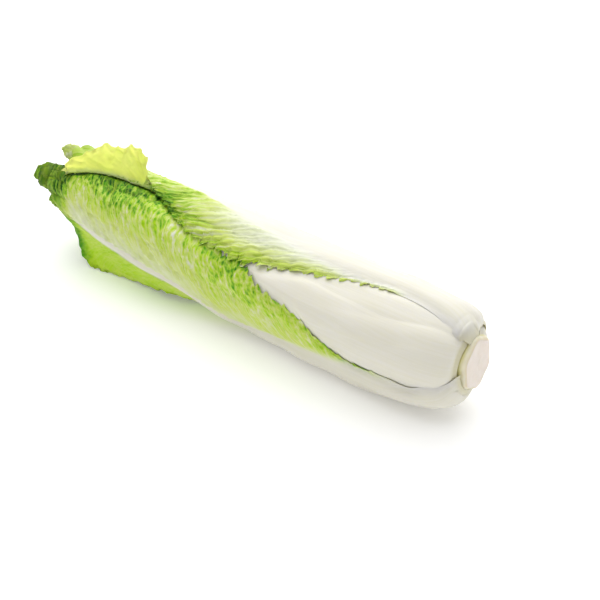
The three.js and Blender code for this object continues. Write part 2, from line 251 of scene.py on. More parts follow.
FRONT_LEAF = Leaf(
    name="front_leaf",
    foot=4.5, tip=460, blunt=26,
    rib=curve((4, 62), (60, 58), (150, 55), (300, 52), (400, 60), (462, 64)),
    left=curve(
        (4, 24), (16, 37), (50, 44), (90, 47), (150, 54), (250, 64), (340, 46), (400, 26), (440, 13), (460, 9)
    ),
    right=curve((4, 24), (16, 38), (50, 46), (90, 50), (150, 56), (250, 60), (380, 36), (430, 17), (460, 10)),
    rib_depth=curve(
        (4, 0.8), (12, 3.8), (25, 5.4), (60, 6.6), (110, 6.2), (200, 4.2), (320, 2.2), (474, 0.4)
    ),
    rib_width=curve((4, 17), (16, 29), (60, 38), (120, 34), (200, 24), (320, 14), (474, 9)),
    lift=curve((415, 0), (440, 2), (460, 4)),
    near=both(curve((300, 0.1), (412, 0.3), (432, 0.95))),
    green=both(curve((100, 0.3), (300, 0.5), (412, 0.55), (432, 1.1), (460, 1.15))),
    rows=290, columns=90,
    frill=3,
    crumple=curve((425, 0), (440, 1.8), (460, 2.6)),
    loose=both(curve((400, 1), (450, 2.2))),
    crisp=both(curve((400, 1), (440, 0.9))),
    keel=(4.6, 2),
)
REAR_LEAF = Leaf(
    name="rear_leaf",
    foot=10, foot_round=12, tip=452, blunt=58,
    rib=curve((4, 262), (150, 264), (300, 268), (452, 276)),
    left=curve((4, 15), (16, 28), (50, 36), (90, 40), (150, 52), (250, 66), (380, 56), (452, 34)),
    right=curve((4, 15), (16, 28), (50, 36), (90, 40), (150, 52), (250, 62), (380, 50), (452, 30)),
    rib_depth=curve(
        (8, 0.8), (16, 3.8), (28, 5.2), (60, 6.2), (110, 6.0), (200, 4.2), (320, 2.4), (452, 0.6)
    ),
    rib_width=curve((4, 16), (16, 28), (60, 37), (120, 33), (200, 24), (320, 14), (452, 5)),
    near=both(level(0.12)),
    green=both(curve((80, 0.35), (250, 0.55), (452, 0.85))),
    rows=290, columns=90,
    frill=5,
)
LOWER_LEAF = Leaf(
    name="lower_leaf",
    foot=1.5, tip=433, blunt=24,
    rib=curve(
        (1, 150), (100, 150), (200, 143), (240, 128), (268, 114), (300, 107), (340, 103), (400, 101),
        (433, 99),
    ),
    left=curve(
        (1, 22), (20, 28), (34, 24), (48, 30), (66, 35), (82, 36), (106, 48), (130, 61), (166, 66),
        (180, 73), (196, 77), (208, 72), (220, 77), (240, 86), (300, 84), (380, 66), (433, 46),
    ),
    right=curve(
        (1, 16), (16, 27), (60, 34), (120, 42), (220, 46), (270, 36), (290, 35), (310, 40), (350, 46),
        (400, 48), (433, 38),
    ),
    rib_depth=curve(
        (1, 2.6), (12, 4.4), (25, 5.6), (60, 6.8), (110, 6.4), (200, 4.4), (260, 2.2), (433, 0.8)
    ),
    rib_width=curve((1, 16), (16, 26), (60, 31), (120, 24), (200, 9), (260, 6), (320, 5), (433, 2.5)),
    lift=curve((250, 0), (300, 3), (433, 4)),
    peel_over=44,
    peel_turn=curve((200, 0), (262, 18), (290, 40), (330, 50), (350, 60), (390, 84), (433, 88)),
    near=(
        curve((60, 0.3), (120, 0.18), (250, 0.12), (320, 0.12), (433, 0.1)),
        curve((200, 0.15), (270, 0.4), (433, 0.43)),
    ),
    green=(
        # The left margin goes past the darkest green at 340 to 396, where it lies under the upper leaf's
        # folded-back margin. This is partly its own dark green and partly painted shade under that fold.
        curve((60, 0.5), (200, 0.64), (280, 1.0), (340, 1.8), (372, 2.1), (396, 1.35), (433, 1)),
        curve((200, 0.38), (300, 0.43), (380, 0.47), (400, 0.8)),
    ),
    rows=330, columns=110,
    ruffle=(curve((60, 0), (110, 0.8), (300, 1.8), (433, 3)), curve((200, 0.5), (300, 2.6), (433, 4))),
    tooth=(curve((45, 0), (66, 4), (120, 6), (200, 6), (300, 4.5)), curve((200, 0.5), (280, 5), (433, 6))),
    frill=3.5,
    cut_back=26,
    sink=(
        curve((40, 0.2), (60, 0.4), (80, 0.9), (100, 1.1), (120, 0.6), (140, 1.1), (160, 0.9), (180, 0)),
        level(0),
    ),
    deepening=curve((200, 1.2), (300, 1.7), (340, 1.9), (372, 2.3), (396, 2), (433, 2)),
    loose=(curve((150, 0.7), (260, 1.7), (433, 2.0)), level(0.7)),
    crisp=(level(1), curve((200, 0.8), (300, 0.2))),
    arch=(62, 28),
)
UPPER_LEAF = Leaf(
    name="upper_leaf",
    foot=2, tip=436, blunt=22,
    rib=curve((5, 330), (100, 328), (300, 326), (436, 322)),
    left=curve((5, 24), (16, 33), (60, 40), (120, 48), (220, 60), (340, 62), (436, 40)),
    right=curve(
        (5, 30), (10, 33), (16, 34), (52, 33), (72, 37), (102, 43), (143, 54), (178, 62), (192, 64),
        (232, 63), (252, 61), (272, 55.5), (292, 45), (302, 43), (310, 48), (320, 69), (334, 74),
        (349, 77), (362, 73), (378, 75), (391, 69), (401, 70), (414, 62), (436, 54),
    ),
    rib_depth=curve(
        (6, 1.0), (14, 3.8), (26, 5.4), (60, 6.6), (110, 6.2), (200, 4.6), (320, 2.8), (436, 1.0)
    ),
    rib_width=curve((5, 18), (16, 29), (60, 36), (120, 34), (200, 25), (320, 14), (436, 6)),
    lift=curve((380, 0), (436, 4)),
    peel_from=curve((290, 44), (308, 37), (325, 37), (347, 37), (376, 39), (395, 43), (413, 49), (436, 52)),
    peel_over=10,
    peel_turn=curve((286, 0), (310, 90), (334, 128), (436, 118)),
    # The folded-back margin's low green is partly its own paler inner face and partly painted light, standing
    # in for light through the fold.
    peeled=curve((305, 0.38), (335, 0.14), (400, 0.1), (436, 0.2)),
    near=(curve((270, 0.05), (330, 0.35)), curve((205, 0.0), (245, 0.15), (300, 0.42))),
    green=(
        curve((60, 0.3), (150, 0.4), (300, 0.5), (436, 0.6)),
        curve((60, 0.3), (100, 0.44), (230, 0.5), (262, 0.74), (300, 0.9), (330, 0.5), (436, 0.4)),
    ),
    rows=330, columns=110,
    ruffle=(
        curve((60, 0), (150, 1.2), (436, 2.5)),
        curve((60, 0), (110, 1), (200, 1.6), (285, 1.2), (330, 3)),
    ),
    tooth=(
        curve((60, 0), (100, 2), (436, 3)),
        curve((55, 0), (75, 4), (200, 5.5), (300, 4), (335, 2.4), (436, 2.6)),
    ),
    frill=4,
    cut_back=2,
    sink=(
        level(0),
        curve(
            (40, 0.1), (60, 0.8), (80, 1.6), (120, 2.2), (140, 2.6), (160, 2.2), (180, 3), (240, 2.8),
            (260, 1.8), (280, 2), (300, 0.6), (310, 0),
        ),
    ),
    foot_edge=curve((-1, 13), (-0.3, 10), (0, 7), (0.27, 1.5), (0.45, 0), (0.67, 0.4), (0.83, 2), (1, 4)),
    foot_round=8,
    deepening=curve((200, 2), (290, 1.4)),
    loose=(level(1), curve((100, 1), (200, 1.4), (300, 1.6), (436, 1))),
    arch=(420, 140),
    pleat=1.3,
)

OUTER_LEAVES = (CREST_LEAF, UNDERSIDE_LEAF, FRONT_LEAF, REAR_LEAF, LOWER_LEAF, UPPER_LEAF)


# ---- How the outer leaves lie on each other ----
def near_turn(angle):
    """An angle brought into the half turn either side of zero."""
    return angle - 360 * np.round(angle / 360)


def step_down(step, past):
    """One over an edge, falling smoothly to nothing past it."""
    return 1 - smoothstep(*step, past)


def steepness(along):
    """How much more radius a layer takes where the bundle slopes, over where it is level."""
    return np.hypot(1, bundle_radius(along + 0.5) - bundle_radius(along - 0.5))


def leaf_thickness(leaf, along, across, share):
    """Thickness of a leaf at a distance across from its rib, which is a share of its reach there."""
    from_rib = np.clip(np.abs(across) / leaf.rib_width(along), 0, 1)
    full = BLADE + leaf.rib_depth(along) * (1 - from_rib * from_rib) ** 1.3
    return full * (1 - MARGIN_THINNING * smoothstep(0.7, 1, share))


def leaf_end(leaf, share):
    """`along` of the leaf's end at a share of its half width, from -1 at its left margin to 1."""
    return leaf.tip - leaf.blunt * np.abs(share) ** 2.6 - leaf.cut_back * smoothstep(-0.15, 0.3, share)


def on_leaf(leaf, along, round_):
    """Where points round the head stand on a leaf: across it, its reach there, and the share of that."""
    across = near_turn(round_ - leaf.rib(along)) * np.radians(outer_radius(along))
    reach = np.where(across < 0, leaf.left(along), leaf.right(along))
    return across, reach, np.minimum(np.abs(across) / reach, 1)


def seat(along, round_, layer):
    """Height of the outside of everything that lies under outer leaf number `layer`."""
    height = bundle_radius(along)
    for leaf in OUTER_LEAVES[:layer]:
        across, reach, share = on_leaf(leaf, along, round_)
        beside = step_down(MARGIN_STEP, np.abs(across) - reach)
        beyond = step_down(TIP_STEP, along - leaf_end(leaf, share * np.sign(across)))
        before = step_down(FOOT_STEP, leaf.foot - along)
        thickness = steepness(along) * (LEAF_GAP + leaf_thickness(leaf, along, across, share))
        lift = leaf.lift(along) * (1 - share * share)
        height = height + beside * beyond * before * (thickness + lift)
    return height


def covered(along, round_, layer):
    """How far each point lies under a later leaf: 0 in the open, 1 well covered."""
    cover = np.zeros_like(along)
    for leaf in OUTER_LEAVES[layer + 1 :]:
        across, reach, share = on_leaf(leaf, along, round_)
        folded = (across > 0) & (leaf.peel_turn(along) > FOLDED)
        edge = np.where(folded, np.minimum(reach, leaf.peel_from(along)), reach)
        beside = step_down(MARGIN_COVER, np.abs(across) - edge)
        beyond = step_down(TIP_COVER, along - leaf_end(leaf, share * np.sign(across)))
        before = step_down(FOOT_COVER, leaf.foot - along)
        cover = np.maximum(cover, beside * beyond * before)
    return cover


def crowded(v):
    """Shares of a leaf's length that crowd towards its foot, where it curves most."""
    reach, start = 0.35, 0.3

    def length(x):
        return x - (1 - start) * reach * (1 - np.exp(-x / reach))

    return length(v) / length(1)


def settle(z, floor, soft=2.5):
    """Heights rounded off so that none is below `floor`."""
    over = np.clip(z - floor + soft, 0, 2 * soft)
    return np.where(z > floor + soft, z, floor + over * over / (4 * soft))


# ---- Leaf veins, as the blades and their finish both use them ----
VEIN_STAGGER = 5.0  # how far the side veins left of a rib are set off from those right of it
PATTERN_STEP = 40.0  # keeps each leaf's pattern apart from the next leaf's


def vein_paths(number, arch, along, across):
    """The distance along that every side vein keeps one value of, and how slantwise the veins run."""
    run, turn = arch
    wander = rolling(along, across, 52, 50 + number) * 3.2 + rolling(along, across, 17, 55 + number) * 0.7
    stagger = np.where(across < 0, VEIN_STAGGER, 0)
    fall = np.exp(-np.abs(across) / turn)
    return along - run * (1 - fall) + wander + stagger, np.hypot(1, run / turn * fall)


# ---- Meshes ----
def smooth_mesh(name, points, faces, attributes):
    """A smooth mesh of points in millimetres, with an attribute for each array of numbers or vectors."""
    mesh = bpy.data.meshes.new(name)
    mesh.from_pydata((points * MM + np.array(CUT_CENTRE)).tolist(), [], faces)
    mesh.polygons.foreach_set("use_smooth", np.ones(len(faces), bool))
    for key, values in attributes.items():
        kind, field = ("FLOAT_VECTOR", "vector") if values.ndim == 2 else ("FLOAT", "value")
        attribute = mesh.attributes.new(key, kind, "POINT")
        attribute.data.foreach_set(field, values.astype(np.float32).ravel())
    mesh.update()
    return mesh


def shell_mesh(name, inner, outer, attributes):
    """A closed shell between two grids of points, with the attributes of the grid on both of its sides."""
    lower = np.arange(inner[..., 0].size).reshape(inner.shape[:2])
    upper = lower + lower.size

    def cells(grid):
        return [grid[:-1, :-1], grid[1:, :-1], grid[1:, 1:], grid[:-1, 1:]]

    def strip(a, b):
        return [a[:-1], a[1:], b[1:], b[:-1]]

    corners = [
        cells(upper),
        cells(lower)[::-1],
        strip(lower[:, 0], upper[:, 0]),
        strip(upper[:, -1], lower[:, -1]),
        strip(upper[0], lower[0]),
        strip(lower[-1], upper[-1]),
    ]
    faces = np.concatenate([np.stack([c.ravel() for c in quad], axis=1) for quad in corners])

    def on_both_sides(grid):
        return np.concatenate([grid, grid]).reshape(-1, *grid.shape[2:])

    attributes = {key: on_both_sides(grid) for key, grid in attributes.items()}
    return smooth_mesh(name, np.concatenate([inner, outer]).reshape(-1, 3), faces.tolist(), attributes)


def blade_mesh(name, number, inner, outer, outward, along, across, arch, shares):
    """A leaf's shell, with all that its crinkles and its finish read."""
    path, slant = vein_paths(number, arch, along, across)
    attributes = {
        "place": np.stack([across, path, np.full_like(along, PATTERN_STEP * number)], axis=-1) * MM,
        "outward": outward,
        "slant": slant,
    }
    for key, share in shares.items():
        attributes[key] = np.broadcast_to(share, along.shape)
    return shell_mesh(name + "_blade", inner, outer, attributes)


def outward_of(grid):
    """Unit normals of a grid of points, away from the head's axis."""
    across = np.cross(np.gradient(grid, axis=0), np.gradient(grid, axis=1))
    return across / np.maximum(np.linalg.norm(across, axis=-1, keepdims=True), 1e-9)


def margin_columns(columns):
    """Shares of a leaf's half width, from -1 to 1, that crowd towards its margins."""
    u = np.linspace(-1, 1, columns)
    return u * (1.3 - 0.3 * u * u)


# ---- The stem core ----
CORE_SEGMENTS = 120
FACE_RINGS, RIM_RINGS, SIDE_RINGS, CONE_RINGS = 16, 5, 8, 24
TRIM_FLATS = 6  # flats that the knife left round the stub
TRIM_DEPTH = 0.045  # half the depth of a flat, as a share of the radius
TRIM_TURN = 12
FACE_DISH = 0.15
RIM_BEVEL = 0.5
FACE_NARROWING = 0.08  # how far the cut face is narrower and taller than round
FACE_HEIGHTENING = 0.2


def core_rings():
    """The core's rings from the cut face inwards: along, radius, and how far each is face and rim."""
    rings = []
    for share in np.linspace(0.04, 0.97, FACE_RINGS):
        rings.append((FACE_DISH * (1 - share**6) - 0.1, CUT_RADIUS * share, 1, 0))
    for share in np.linspace(0, 1, RIM_RINGS):
        bend = share * math.pi / 2
        radius = CUT_RADIUS - RIM_BEVEL + RIM_BEVEL * math.sin(bend)
        rings.append((RIM_BEVEL * (1 - math.cos(bend)), radius, 1 - share, 1))
    for along in np.linspace(0.9, STUB_LENGTH, SIDE_RINGS):
        radius = CUT_RADIUS + (STUB_RADIUS - CUT_RADIUS) * (along / STUB_LENGTH) ** 0.8
        rings.append((along, radius, 0, 0.4 * math.exp(-along)))
    for along in np.linspace(STUB_LENGTH + 2, CORE_LENGTH, CONE_RINGS):
        rings.append((along, float(core_radius(along)), 0, 0))
    return np.array(rings).T


def core_mesh():
    """The core: an almost flat cut face, a bevel, a side trimmed into flats, and the hidden cone."""
    turns = np.linspace(0, 2 * math.pi, CORE_SEGMENTS, endpoint=False)
    flats = 1 - TRIM_DEPTH * (1 - np.cos(TRIM_FLATS * (turns - math.radians(TRIM_TURN))))
    along, radius, face, rim = core_rings()
    shaped = 1 + (flats - 1) * np.clip(1.2 - along / 14, 0, 1)[:, None]
    wobble = 0.12 * rolling(turns[None, :] * 12, radius[:, None], 9, 5) * (along < 8)[:, None]
    reach = np.broadcast_to(along[:, None], shaped.shape) + wobble
    points = head_points(reach, np.degrees(turns)[None, :], radius[:, None] * shaped)
    near_cut = 1 - smoothstep(0, 14, along)[:, None]
    points[..., 1] *= 1 - FACE_NARROWING * near_cut
    points[..., 2] += (points[..., 2] - axis_rise(0)) * FACE_HEIGHTENING * near_cut
    ends = head_points(np.array([-0.1, CORE_LENGTH + 0.4]), np.zeros(2), np.zeros(2))
    points = np.concatenate([points.reshape(-1, 3), ends])
    grid = np.arange(len(points) - 2).reshape(-1, CORE_SEGMENTS)
    after = np.roll(grid, -1, axis=1)
    faces = np.stack([grid[:-1], grid[1:], after[1:], after[:-1]], axis=-1).reshape(-1, 4).tolist()
    centre, point = len(points) - 2, len(points) - 1
    faces += [(centre, int(a), int(b)) for a, b in zip(grid[0], after[0])]
    faces += [(point, int(b), int(a)) for a, b in zip(grid[-1], after[-1])]

    def spread(values):
        return np.concatenate([np.repeat(values, CORE_SEGMENTS), [values[0], values[-1]]])

    # The deep share marks where the side runs in under the leaves. It is coloured there partly with the
    # core's yellower side and partly with painted shade in the crease.
    attributes = {"face": spread(face), "rim": spread(rim), "deep": spread(smoothstep(1.5, 4.5, along))}
    return smooth_mesh("stem_core_cut", points, faces, attributes)


# ---- Outer leaves ----
PEEL_STEPS = 48  # steps of a leaf's width, from its rib to its margin, in which a fold is worked out
LEFT_TOOTH, RIGHT_TOOTH = 7.5, 8.5  # distance from tooth to tooth along either margin
SMALL_TOOTH = 3.1
LEFT_FOLD, RIGHT_FOLD = 13, 15  # distance from fold to fold there
KEEL_HALF_WIDTH = 24


def bare_core(along, round_, layer):
    """1 where nothing but the core lies under outer leaf number `layer`, near its foot."""
    bare = np.ones_like(along)
    for leaf in OUTER_LEAVES[:layer]:
        across, reach, _ = on_leaf(leaf, along, round_)
        beside = 1 - smoothstep(0, 3, np.abs(across) - reach)
        bare = np.minimum(bare, 1 - beside * smoothstep(-2, 0, along - leaf.foot))
    return bare


def laid_over(leaf, along, span, side):
    """Where points at a span from the rib come to lie: their angle round the head, and how far off it."""
    turn = np.radians(leaf.peel_turn(along)) * (side > 0)
    start = leaf.peel_from(along)
    per_degree = np.radians(outer_radius(along))
    step = span / PEEL_STEPS
    round_ = leaf.rib(along)
    reach = np.where(side > 0, leaf.right(along), leaf.left(along))
    off = leaf.lift(along) * (1 - np.clip(span / reach, 0, 1) ** 2)
    for i in range(PEEL_STEPS):
        lean = turn * smoothstep(start, start + leaf.peel_over, step * (i + 0.5))
        round_ = round_ + side * step * np.cos(lean) / (per_degree + np.radians(off))
        off = off + step * np.sin(lean)
    return round_, off


def outer_leaf_mesh(leaf, layer):
    """One outer leaf, laid on the leaves under it, with its margins cut into teeth and thrown into folds."""
    v = crowded(np.linspace(0, 1, leaf.rows))[:, None]
    share = np.broadcast_to(margin_columns(leaf.columns), (leaf.rows, leaf.columns))
    right = share >= 0
    side = np.where(right, 1, -1)
    from_rib = np.abs(share)
    notch = leaf.frill * 0.9 * (teeth(share * 45 + 300, 7, 3 * layer + 2) - 0.6)
    start = leaf.foot + leaf.foot_edge(share)
    along = start + (leaf_end(leaf, share) - start) * v
    along = along + notch * smoothstep(0.93, 1, v)

    def of_side(pair):
        return np.where(right, pair[1](along), pair[0](along))

    cut = np.where(right, teeth(along, RIGHT_TOOTH, 3 * layer), teeth(along, LEFT_TOOTH, 3 * layer + 1))
    cut = cut + 0.35 * teeth(along, SMALL_TOOTH, 3 * layer + 5) - 0.8
    reach = of_side((leaf.left, leaf.right))
    span = from_rib * reach + of_side(leaf.tooth) * cut * smoothstep(0.72, 1, from_rib)
    across = span * side
    round_, off = laid_over(leaf, along, span, side)

    wave = np.where(right, folds(along, RIGHT_FOLD, layer + 1), folds(along, LEFT_FOLD, layer + 7))
    at_margin = smoothstep(0.55, 1, from_rib)
    at_end = smoothstep(0.92, 1, v)
    ruffle = of_side(leaf.ruffle) * wave * at_margin
    frill = leaf.frill * folds(share * 40, 10, layer + 13) * at_end * (1 - from_rib**4)
    open_ = 1 - covered(along, round_, layer)
    off = off + np.maximum(ruffle, frill) * (0.15 + 0.85 * open_)
    lumps = rolling(along, across, 13, 30 + layer) + 0.5 * rolling(along, across, 6, 40 + layer)
    off = off + leaf.crumple(along) * (1 + lumps) * open_
    pressed = at_margin * (1.4 - 0.6 * smoothstep(110, 170, along))
    height = seat(along, round_, layer) + LEAF_GAP * (1 - pressed) + off - of_side(leaf.sink) * at_margin
    from_foot = along - start
    at_core = (1 - smoothstep(1, 6, from_foot)) * bare_core(along, round_, layer)
    inner = head_points(along, round_, height + (core_radius(along) + 0.1 - height) * at_core)
    outward = outward_of(inner)
    base = head_points(along, round_, height)

    blade = smoothstep(0.75, 1.35, span / leaf.rib_width(along)) * smoothstep(15, 70, along)
    blade = np.maximum(blade, smoothstep(9, 2, reach - span) * smoothstep(45, 72, along))
    blade = np.maximum(blade, smoothstep(leaf.tip - 60, leaf.tip - 25, along))
    thickness = leaf_thickness(leaf, along, across, from_rib)
    short_of_full = 1 - np.clip(from_foot / leaf.foot_round, 0, 1)
    foot_round = np.maximum(np.sqrt(1 - short_of_full**2), 0.1)[..., None]
    keel_height, keel_place = leaf.keel
    keel = keel_height * np.clip(1 - np.abs(across - keel_place) / KEEL_HALF_WIDTH, 0, 1)
    keel = keel * (1 - smoothstep(300, 400, along))
    relief = rolling(along, across, 45, 90 + layer) * 0.5 * smoothstep(10, 60, along)
    swell = (keel + relief * (1 - blade)) * smoothstep(4, 40, along) * (0.1 + 0.9 * open_)
    outer = base + outward * (thickness + swell)[..., None]
    outer = inner + (outer - inner) * foot_round

    floor = max(RESTING_LAYER - layer, 0) * (BLADE + CORE_GAP) - AXIS_HEIGHT
    free = smoothstep(0.5, 6, outer[..., 2] - floor)
    inner[..., 2] = settle(inner[..., 2], floor + BLADE)
    outer[..., 2] = settle(outer[..., 2], floor)

    rib_edge = leaf.rib_width(along) * 0.8
    width = np.clip((span - rib_edge) / np.maximum(reach - rib_edge, 6), 0, 1)
    tipward = smoothstep(0.91, 0.985, v) * (1 - (1 - width) ** 2 * 0.4)
    near = of_side(leaf.near)
    green = near + (of_side(leaf.green) - near) * np.maximum(width ** leaf.deepening(along), tipward)
    folded_back = (leaf.peel_turn(along) > 100) * right * smoothstep(4, 14, span - leaf.peel_from(along))
    tone = leaf.peeled(along) + 0.07 * rolling(along, across, 26, 70 + layer)
    green = green + (tone - green) * folded_back
    shares = {
        "blade": blade,
        "loose": of_side(leaf.loose) * (0.12 + 0.88 * open_) * free,
        "green": green,
        "margin": width,
        "crisp": of_side(leaf.crisp) * (1 - 0.8 * folded_back) * (1 - 0.3 * tipward),
        "free": np.maximum(folded_back, smoothstep(0.93, 1, v) * open_ * 0.35),
        "turned": folded_back,
        # The foot share carries an olive tint that is partly the leaf's own colour at the core and partly
        # painted shade in the crease there.
        "foot": 1 - smoothstep(0, 4, from_foot),
    }
    return blade_mesh(leaf.name, layer, inner, outer, outward, along, across, leaf.arch, shares)


# ---- Inner leaves: nested shells ----
INNER_COUNT = 9
INNER_OUTERMOST = 0.975  # the outside of the first and of the bud, as shares of the bundle's radius
INNER_INNERMOST = 0.3
LEAF_STEP = 144  # degrees from one leaf's rib to the next
HALF_WRAP = 120
INNER_FIRST_RIB = 96
INNER_FOOT = 14
INNER_ROWS = 120
INNER_COLUMNS = 46
INNER_PLEAT = 0.3


def inner_leaf_mesh(index):
    """One inner leaf, which wraps two thirds of the way round and folds over the head's end."""
    pitch = (INNER_OUTERMOST - INNER_INNERMOST) / INNER_COUNT
    outside = INNER_OUTERMOST - pitch * index
    rib = INNER_FIRST_RIB + LEAF_STEP * index
    end = CROWN_START + CROWN_RADIUS * math.radians(CROWN_FOLD)
    stations = np.linspace(INNER_FOOT, end, 400)
    room = (outside - pitch) * bundle_radius(stations) + LEAF_GAP
    foot = stations[room > core_radius(stations) + CORE_GAP][0]
    v = np.linspace(0, 1, INNER_ROWS)[:, None]
    share = np.broadcast_to(margin_columns(INNER_COLUMNS), (INNER_ROWS, INNER_COLUMNS))
    notch = 5 * (teeth(share * 60 + 200, 8, 60 + index) - 0.7) - 10 * share**4
    along = foot + (end - foot) * v + notch * smoothstep(0.93, 1, v)
    round_ = rib + HALF_WRAP * share
    radius = bundle_radius(along)
    thin = (outside - pitch) * radius + LEAF_GAP
    frill = 1.6 * folds(share * 70, 15, 20 + index) * smoothstep(0.9, 1, v)
    inner = head_points(along, round_, thin, folded=True)
    outer = head_points(along, round_, outside * radius + frill, folded=True)
    across = np.radians(HALF_WRAP) * share * radius
    shares = {
        "blade": smoothstep(6, 16, np.abs(across)) * smoothstep(60, 160, along),
        "loose": 0.35,
        "green": 0.1 + 0.35 * smoothstep(0.7, 1, v) - 0.02 * index,
        "margin": np.abs(share),
        "crisp": 1,
        "free": smoothstep(0.9, 1, v),
        "turned": 0,
        "foot": 1 - smoothstep(0, 5, along - foot),
    }
    name = f"inner_leaf_{index + 1}"
    outward = outward_of(inner)
    return blade_mesh(name, 10 + index, inner, outer, outward, along, across, Leaf.arch, shares)


# ---- Node trees written as expressions ----
class Number:
    """A number socket, whose sums are written as Python expressions and made as Math nodes."""

    def __init__(self, maker, socket):
        self.maker = maker
        self.socket = socket

    def __add__(self, other):
        return self.maker.math("ADD", self, other)

    def __radd__(self, other):
        return self.maker.math("ADD", other, self)

    def __sub__(self, other):
        return self.maker.math("SUBTRACT", self, other)

    def __rsub__(self, other):
        return self.maker.math("SUBTRACT", other, self)

    def __mul__(self, other):
        return self.maker.math("MULTIPLY", self, other)

    def __rmul__(self, other):
        return self.maker.math("MULTIPLY", other, self)

    def __truediv__(self, other):
        return self.maker.math("DIVIDE", self, other)

    def __rtruediv__(self, other):
        return self.maker.math("DIVIDE", other, self)


class Maker:
    """Makes the nodes of one tree."""

    def __init__(self, tree):
        self.tree = tree

    def node(self, kind, settings=None, inputs=None):
        """A node of a kind, with its settings made first, and then the values or links of its sockets."""
        node = self.tree.nodes.new(kind)
        for key, value in (settings or {}).items():
            if key == "stops":
                self.fill_ramp(node.color_ramp, value)
            else:
                setattr(node, key, value)
        for key, value in (inputs or {}).items():
            if isinstance(value, Number):
                value = value.socket
            if isinstance(value, Color):
                value = (*value, 1.0)
            if isinstance(value, bpy.types.NodeSocket):
                self.tree.links.new(value, node.inputs[key])
            else:
                node.inputs[key].default_value = value
        return node

    def fill_ramp(self, ramp, stops):
        """Sets a colour ramp's stops, given as (position, colour)."""
        while len(ramp.elements) < len(stops):
            ramp.elements.new(1)
        for element, (position, colour) in zip(ramp.elements, stops):
            element.position = position
            element.color = (*colour, 1.0)

    def math(self, operation, *values):
        """A Math node's number."""
        node = self.node("ShaderNodeMath", {"operation": operation}, dict(enumerate(values)))
        return Number(self, node.outputs[0])

    def rise(self, value, start, end):
        """0 up to start, 1 from end, and a smooth rise between."""
        node = self.node(
            "ShaderNodeMapRange",
            {"interpolation_type": "SMOOTHSTEP"},
            {"Value": value, "From Min": start, "From Max": end},
        )
        return Number(self, node.outputs["Result"])

    def vector(self, operation, *values):
        """A Vector Math node's vector."""
        inputs = dict(enumerate(values))
        if operation == "SCALE":
            inputs = {0: values[0], "Scale": values[1]}
        return self.node("ShaderNodeVectorMath", {"operation": operation}, inputs).outputs[0]

    def attribute(self, name):
        """A number that the mesh holds under a name, as a material reads it."""
        return Number(self, self.node("ShaderNodeAttribute", {"attribute_name": name}).outputs["Fac"])

    def parts(self, vector):
        """The three numbers of a vector."""
        node = self.node("ShaderNodeSeparateXYZ", inputs={0: vector})
        return [Number(self, socket) for socket in node.outputs]

    def ramp(self, stops, value):
        """The colour that a ramp of (position, colour) stops gives a value."""
        return self.node("ShaderNodeValToRGB", {"stops": stops}, {"Fac": value}).outputs["Color"]

    def blend(self, factor, first, second):
        """A mix of two colours."""
        return self.node("ShaderNodeMix", {"data_type": "RGBA"}, {0: factor, 6: first, 7: second}).outputs[2]

    def noise(self, vector, size, detail=3.0):
        """Smooth noise about 0.5 whose features are `size` across, in metres."""
        inputs = {"Vector": vector, "Scale": 1 / size, "Detail": detail}
        return Number(self, self.node("ShaderNodeTexNoise", inputs=inputs).outputs[0])

    def cell_edges(self, vector, size):
        """Distance to the edges of cells `size` across, as a share of that."""
        inputs = {"Vector": vector, "Scale": 1 / size}
        node = self.node("ShaderNodeTexVoronoi", {"feature": "DISTANCE_TO_EDGE"}, inputs)
        return Number(self, node.outputs["Distance"])

    def off_vein(self, path, spacing):
        """Distance to the nearest of the side veins that stand `spacing` apart, as a share of that."""
        return self.math("ABSOLUTE", self.math("FRACT", path / spacing) - 0.5)

    def bump(self, strength, distance, height):
        """A normal that follows relief too fine for the mesh."""
        inputs = {"Strength": strength, "Distance": distance, "Height": height}
        return self.node("ShaderNodeBump", inputs=inputs).outputs[0]

    def principled(self, inputs):
        """A Principled shader."""
        return self.node("ShaderNodeBsdfPrincipled", inputs=inputs).outputs[0]

    def surface(self, shader):
        """Ends a material with its shader."""
        self.node("ShaderNodeOutputMaterial", inputs={"Surface": shader})


# ---- Geometry nodes ----
SEED_STEP = 7.31  # how far the crinkles' noise moves from one seed to the next
CRINKLE_SIZES = ("Cell Size", "Cell Depth", "Vein Spacing", "Vein Height", "Roll Size", "Roll Depth")


